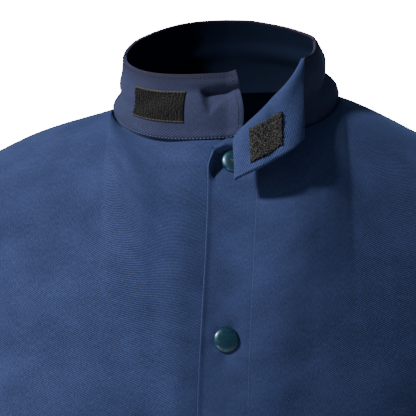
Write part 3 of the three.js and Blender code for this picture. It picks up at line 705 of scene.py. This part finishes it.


# The collar's own twill is greyer than the body's. The facing twill inside the neck is near black: painted
# shade, for the deep shade inside the collar.
collar_twill = twill_material("cotton_twill_collar_top_shade", "#121428", "#22263f", "#333752", 0.25 * MM)
shaded_facing_twill = twill_material("cotton_twill_facing_painted_shade", "#020713", "#040c1f", "#08142c", 0.2 * MM)
set_inputs(shaded_facing_twill.node_tree.nodes["Principled BSDF"],
           {"Sheen Weight": 0.04, "Specular IOR Level": 0.1})

# Painted shade: a band under the collar's top edge is darkened, for the shade where the top curves over.
tree = collar_twill.node_tree
shader = tree.nodes["Principled BSDF"]
unshaded = shader.inputs["Base Color"].links[0].from_socket
uv = add_node(tree, "ShaderNodeUVMap", {"uv_map": "UVMap"}).outputs["UV"]
below_top = add_node(tree, "ShaderNodeSeparateXYZ", {}, [("Vector", uv)]).outputs["Y"]
top_shade = add_node(tree, "ShaderNodeMapRange", {"From Min": -16 * MM, "From Max": -3 * MM, "To Max": 0.6},
                [("Value", below_top)]).outputs["Result"]
top_shaded = add_node(tree, "ShaderNodeMix", {"data_type": "RGBA"}, [(0, top_shade), (6, unshaded)])
top_shaded.inputs[7].default_value = to_linear("#0b0d1c")
tree.links.new(top_shaded.outputs[2], shader.inputs["Base Color"])
collar = render_sheet("collar_cloth", 400, 48, collar_sheet, collar_flat, collar_edge_sheen)
thicken(collar, COLLAR_CLOTH, 0.9)
dress(collar, "collar", collar_twill)
# The inner face gets the facing twill, whose near-black colour is painted shade.
collar.data.materials.append(shaded_facing_twill)
collar.data.materials.append(twill)
collar.modifiers["wall"].material_offset = 1
# The turned end takes the body's twill, so the facing's painted shade stops at the roll line.
flap_span = COLLAR_SPANS[1][1] * MM
for face in collar.data.polygons:
    across = [collar.data.uv_layers["UVMap"].data[i].uv.x for i in face.loop_indices]
    if max(across) < flap_span:
        face.material_index = 2


# Hook tape: black nylon tape woven with rows of small stiff hooks, with a smooth paler selvedge
# along both long edges. It is sewn flat on the outer face of the collar's right end.
PATCH_THICKNESS, PATCH_HEIGHT, PATCH_GAP = 1.6, 25.4, 0.1
TAPE_BACKING = PATCH_THICKNESS * 0.6
HOOK_LENGTH, HOOK_ANGLE, HOOK_BASE = 48, -55, 0.27
HOOK_PITCH, HOOK_ROW = 2.3, 1.4
SELVEDGE, SELVEDGE_BAND, SELVEDGE_LIFT = 2.2, 1.76, 0.35
HOOK_SPAN = math.degrees(HOOK_LENGTH / (NECK_HALF_WIDTH * 0.93))


def square_to(surface, u, v):
    step = 0.01
    across = surface(u + step, v) - surface(u - step, v)
    along = surface(u, v + step) - surface(u, v - step)
    return along.cross(across).normalized()


def tape(name, surface, width, height, lift, material):
    """A woven tape that follows a surface; its backing is slightly thinner at the selvedges."""
    def place(u, v):
        rim = min(u * width, (1 - u) * width, v * height, (1 - v) * height)
        weave = 0.08 * math.sin(u * width * 5) * math.sin(v * height * 5)
        top = lift + TAPE_BACKING * ease(rim, -0.4, 0.9) + weave
        return surface(u, v) + square_to(surface, u, v) * top
    made = render_sheet(name, int(width * 2), int(height * 2), place, lambda u, v: (u * width, -v * height))
    thicken(made, TAPE_BACKING, 0.2)
    made.data.materials.append(material)
    return made


def stamp(name, shape, matrices, material):
    """One mesh of many small copies of a shape, each placed by its own matrix."""
    bm = bmesh.new()
    shape(bm)
    mesh = bpy.data.meshes.new(name)
    bm.to_mesh(mesh)
    bm.free()
    bm = bmesh.new()
    for matrix in matrices:
        first = len(bm.verts)
        bm.from_mesh(mesh)
        bm.verts.ensure_lookup_table()
        for vert in bm.verts[first:]:
            vert.co = matrix @ vert.co
    for face in bm.faces:
        face.smooth = True
    bm.to_mesh(mesh)
    bm.free()
    mesh.materials.append(material)
    return add_object(name, mesh)


def seat_on(place, out, turn=0.0, size=1.0):
    """Stands a small copy at a place, up along the outward direction, turned about it and sized."""
    return (Matrix.Translation(place * MM) @ out.to_track_quat("Z", "Y").to_matrix().to_4x4()
            @ Matrix.Rotation(turn, 4, "Z") @ Matrix.Scale(size, 4))


def tape_material(name, dark, light, scale):
    made, tree, shader = new_material(name)
    speck = add_speckle(tree, shader, scale, [(0.35, dark), (0.7, light)], 3.0)
    add_bump(tree, shader, speck, 0.4, 0.2 * MM)
    set_inputs(shader, {"Roughness": 0.8, "Specular IOR Level": 0.15})
    return made


hook_backing = tape_material("woven_nylon_tape", "#080809", "#171716", 900.0)
hook_nylon = tape_material("moulded_nylon_hooks", "#1a1a1b", "#3b3936", 600.0)
selvedge_yarn = tape_material("nylon_selvedge", "#25231f", "#4c483f", 1400.0)


def hook_surface(u, v):
    return collar_point(HOOK_ANGLE + HOOK_SPAN * u, HOOK_BASE + PATCH_HEIGHT / COLLAR_HEIGHT * (1 - v))


def hook_shape(bm):
    """A stem that leans over at its tip."""
    made = bmesh.ops.create_cone(bm, cap_ends=True, segments=5, radius1=0.42 * MM, radius2=0.3 * MM,
                                 depth=1.5 * MM)
    for vert in made["verts"]:
        vert.co.z += 0.6 * MM
        if vert.co.z > MM:
            vert.co.x += 0.55 * MM
            vert.co.z -= 0.25 * MM


hook_tape = tape("hook_tape", hook_surface, HOOK_LENGTH, PATCH_HEIGHT, PATCH_GAP, hook_backing)
dress(hook_tape, "hook_patch", hook_backing)
random.seed(5)
seats = []
for row in range(int((PATCH_HEIGHT - 2 * SELVEDGE) / HOOK_ROW) + 1):
    for column in range(int((HOOK_LENGTH - 3) / HOOK_PITCH) + 1):
        u = (1.5 + HOOK_PITCH * column + random.uniform(-0.2, 0.2)) / HOOK_LENGTH
        v = (SELVEDGE + HOOK_ROW * row + random.uniform(-0.2, 0.2)) / PATCH_HEIGHT
        out = square_to(hook_surface, u, v)
        seats.append(seat_on(hook_surface(u, v) + out * (PATCH_GAP + TAPE_BACKING), out,
                             random.choice((0.3, math.pi - 0.3)), random.uniform(0.8, 1.2)))
hooks = stamp("hook_rows", hook_shape, seats, hook_nylon)
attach(hooks, "root")

for name, low in (("hook_selvedge_top", 0), ("hook_selvedge_bottom", 1 - SELVEDGE_BAND / PATCH_HEIGHT)):
    def band(u, v, low=low):
        return hook_surface(u, low + v * SELVEDGE_BAND / PATCH_HEIGHT)
    strip = tape(name, band, HOOK_LENGTH, SELVEDGE_BAND, PATCH_GAP + SELVEDGE_LIFT, selvedge_yarn)
    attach(strip, "root")


# Loop tape: black nylon tape with a brushed pile of loose loops, sewn on the inner face of the
# collar's left end, which is turned open.
LOOP_LENGTH, LOOP_MARGIN, LOOP_BASE, LOOP_FAN = 27, 5.5, 0.2, 0.84
LOOP_COUNT = 2600
PILE_FOOT = COLLAR_CLOTH + PATCH_GAP + TAPE_BACKING


def loop_surface(u, v):
    height = LOOP_BASE + LOOP_FAN * PATCH_HEIGHT / COLLAR_HEIGHT * u
    return flap_point(1 - (LOOP_MARGIN + LOOP_LENGTH * (1 - v)) / flap_length(height), height)


def pile_shape(bm):
    """One loop of yarn: half a turn of a thin strand."""
    strand = bmesh.ops.create_circle(bm, segments=4, radius=0.18 * MM)
    bmesh.ops.rotate(bm, verts=strand["verts"], cent=(0, 0, 0), matrix=Matrix.Rotation(0.4, 3, "Z"))
    bmesh.ops.spin(bm, geom=bm.verts[:] + bm.edges[:], cent=(0.6 * MM, 0, 0), axis=(0, 1, 0.3),
                   dvec=(0, 0, 0), angle=math.pi * 1.1, steps=5)


loop_yarn = tape_material("brushed_nylon_pile", "#0c0c0e", "#575553", 800.0)
loop_tape = tape("loop_tape", loop_surface, PATCH_HEIGHT, LOOP_LENGTH, COLLAR_CLOTH + PATCH_GAP, hook_backing)
dress(loop_tape, "loop_patch", hook_backing)
seats = []
for _ in range(LOOP_COUNT):
    u, v = random.uniform(0.03, 0.97), random.uniform(0.02, 0.98)
    out = square_to(loop_surface, u, v)
    lean = Vector([random.uniform(-0.5, 0.5) for _ in range(3)])
    seats.append(seat_on(loop_surface(u, v) + out * (PILE_FOOT + random.uniform(-0.2, 0.5)),
                         (out + lean).normalized(), random.uniform(0, 2 * math.pi),
                         random.uniform(0.8, 1.3)))
pile = stamp("loop_pile", pile_shape, seats, loop_yarn)
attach(pile, "root")


# Snaps: pressed caps painted dark teal, each clinched through the placket to a socket under it,
# and brass studs through the underlap. The paint is glossy and a little mottled.
CAP_RADIUS, CAP_HEIGHT, CAP_SIDES = 9.75, 2.8, 48
# The cap's gap to the placket, and how far the first cap stands out of its hollow
CAP_SEAT, CAP_PROUD = 0.2, 1
# Half outline of the cap from its middle out: radius and height, as shares of the cap's
CAP_OUTLINE = [
    (0, 1), (0.3, 0.985), (0.55, 0.93), (0.76, 0.78), (0.9, 0.52), (0.985, 0.22), (1, 0.08),
    (0.97, 0), (0.9, -0.06),
]
cap_paint, tree, shader = new_material("teal_painted_brass")
mottle = add_speckle(tree, shader, 420.0, [(0.3, "#0a2432"), (0.62, "#133748"), (0.85, "#235264")], 4.0)
add_bump(tree, shader, mottle, 0.12, 0.05 * MM)
set_inputs(shader, {"Metallic": 0.5, "Roughness": 0.36, "Coat Weight": 0.3, "Coat Roughness": 0.12})

stud_brass, tree, shader = new_material("turned_brass")
add_speckle(tree, shader, 500.0, [(0.3, "#5f4d28"), (0.7, "#a88c50")], 4.0)
set_inputs(shader, {"Metallic": 1.0, "Roughness": 0.38})

for i, (seat, axis) in enumerate(SNAPS):
    bm = bmesh.new()
    points = [bm.verts.new((r * CAP_RADIUS * MM, 0, h * CAP_HEIGHT * MM)) for r, h in CAP_OUTLINE]
    edges = [bm.edges.new(pair) for pair in zip(points, points[1:])]
    bmesh.ops.spin(bm, geom=points + edges, cent=(0, 0, 0), axis=(0, 0, 1), angle=2 * math.pi,
                   steps=CAP_SIDES, use_merge=True)
    bmesh.ops.remove_doubles(bm, verts=bm.verts, dist=0.001 * MM)
    under = [e for e in bm.edges if e.is_boundary]
    bmesh.ops.holes_fill(bm, edges=under, sides=0)
    bmesh.ops.recalc_face_normals(bm, faces=bm.faces)
    for face in bm.faces:
        face.smooth = len(face.verts) < 5
    sink = SNAP_RECESS - CAP_PROUD if i == 0 else 0
    cap_seat = seat_on(seat + axis * (LAYER_OUT + CAP_SEAT - sink), axis)
    bmesh.ops.transform(bm, matrix=cap_seat, verts=bm.verts)
    cap_mesh = bpy.data.meshes.new(f"snap_cap_{i + 1}_dome")
    bm.to_mesh(cap_mesh)
    bm.free()
    cap_mesh.materials.append(cap_paint)
    cap = add_object(f"snap_cap_{i + 1}_dome", cap_mesh)
    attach(cap, "root")
    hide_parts(f"snap_cap_{i + 1}")
    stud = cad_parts[f"snap_stud_{i + 1}"]
    stud.data.materials.clear()
    stud.data.materials.append(stud_brass)


# Topstitching: rows of thick cotton thread, a few stitches to the centimetre, sunk a little in
# the cloth. The thread is navy, paler along the neck seam where it has rubbed.
STITCH_LENGTH, STITCH_PITCH, STITCH_WIDTH = 2.1, 3.0, 0.75


def thread_material(name, code, rubbed):
    made, tree, shader = new_material(name)
    add_speckle(tree, shader, 1800.0, [(0.3, code), (0.75, rubbed)])
    set_inputs(shader, {"Roughness": 0.75})
    return made


navy_thread = thread_material("navy_cotton_thread", "#080b14", "#141b2e")
rubbed_thread = thread_material("rubbed_cotton_thread", "#2f3757", "#525c80")
cloth_thread = thread_material("dyed_cotton_thread", "#202a4c", "#38456f")
tape_thread = thread_material("black_nylon_thread", "#1c1b19", "#3c3a34")


def stitch_shape(bm):
    bmesh.ops.create_uvsphere(bm, u_segments=6, v_segments=4, radius=0.5 * MM)
    bmesh.ops.scale(bm, vec=(STITCH_LENGTH, STITCH_WIDTH, STITCH_WIDTH), verts=bm.verts)


def stitch_row(name, curve, length, material, lift=0.15):
    """Stitches along a curve that gives a place and an outward direction for 0 to 1."""
    seats = []
    count = int(length / STITCH_PITCH)
    for k in range(count):
        t = (k + 0.5) / count
        here, out = curve(t)
        ahead, _ = curve(min(t + 0.4 / count, 1))
        behind, _ = curve(max(t - 0.4 / count, 0))
        along = (ahead - behind).normalized()
        side = out.cross(along).normalized()
        turn = Matrix((along, side, along.cross(side))).transposed()
        seats.append(Matrix.Translation((here + out * lift) * MM) @ turn.to_4x4())
    row = stamp(name, stitch_shape, seats, material)
    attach(row, "root")


def on_sheet(sheet, start, end):
    """A straight row from one place of a sheet to another, with the outward direction."""
    def curve(t):
        u, v = mix(start[0], end[0], t), mix(start[1], end[1], t)
        step = 0.002
        across = sheet(min(u + step, 1), v) - sheet(max(u - step, 0), v)
        along = sheet(u, min(v + step, 1)) - sheet(u, max(v - step, 0))
        return sheet(u, v), along.cross(across).normalized()
    return curve


collar_top = on_sheet(collar_sheet, (FLAP_SHARE + 0.01, 0.065), (0.995, 0.065))
stitch_row("collar_top_stitches", collar_top, 520, navy_thread)
collar_end = on_sheet(collar_sheet, (0.994, 0.07), (0.994, 0.93))
stitch_row("collar_end_stitches", collar_end, 50, navy_thread)
collar_foot = on_sheet(collar_sheet, (QUARTER_SHARE, 0.9), (0.997, 0.9))
stitch_row("collar_foot_stitches", collar_foot, 440, rubbed_thread, 0.25)
for edge, v in (("top", 0.05), ("bottom", 0.96)):
    tape_edge = on_sheet(hook_surface, (0.03, v), (0.97, v))
    stitch_row(f"hook_tape_stitches_{edge}", tape_edge, 46, tape_thread, 1.5)


def placket_row(t):
    down = mix(0.12, 1.98, t)
    share = share_at(placket_edge(down) + PLACKET_STITCH, down)
    here = body_point(-1, share, down, LAYER_OUT, creases(body_base(-1, share, down), -1))
    return here, body_normal(-1, share, down)


stitch_row("placket_stitches", placket_row, 700, cloth_thread, -0.15)


# Floor and light: a pale floor under the jacket, a key light from high on the left that throws
# the collar's shadow over the chest, and a soft even fill.
FLOOR_DROP = 0.95
bpy.ops.mesh.primitive_plane_add(size=14, location=(0, 0, -FLOOR_DROP))
floor = bpy.context.object
floor.name = "floor"
paint, tree, shader = new_material("matte_floor_paint")
set_inputs(shader, {"Base Color": to_linear("#e9e9ea"), "Roughness": 0.9})
floor.data.materials.append(paint)

# The world is a white backdrop to the camera and a much dimmer fill on the cloth
BACKDROP, FILL = 22.0, 0.25
world = bpy.data.worlds.new("studio")
world.use_nodes = True
bpy.context.scene.world = world
sky = world.node_tree
fill = sky.nodes["Background"]
set_inputs(fill, {"Color": (0.68, 0.84, 1, 1), "Strength": FILL})
white = add_node(sky, "ShaderNodeBackground", {"Color": (1, 1, 1, 1), "Strength": BACKDROP})
ray = add_node(sky, "ShaderNodeLightPath", {})
shown = add_node(sky, "ShaderNodeMixShader", {}, [(0, ray.outputs["Is Camera Ray"])])
sky.links.new(fill.outputs["Background"], shown.inputs[1])
sky.links.new(white.outputs["Background"], shown.inputs[2])
sky.links.new(shown.outputs["Shader"], sky.nodes["World Output"].inputs["Surface"])


def area_light(name, start, aim, size, power):
    data = bpy.data.lights.new(name, "AREA")
    data.shape = "DISK"
    data.size = size
    data.energy = power
    made = add_object(name, data)
    made.location = start
    made.rotation_euler = (Vector(aim) - Vector(start)).to_track_quat("-Z", "Y").to_euler()


area_light("key_light", (-2.1, -1.1, 1.55), (0.05, 0, -0.05), 0.28, 178)
area_light("low_light", (-1.3, -1.5, -1.0), (0, -0.1, -0.2), 0.45, 7)
area_light("back_light", (0.6, 2.8, -0.3), (0, 0, -0.35), 1.6, 45)
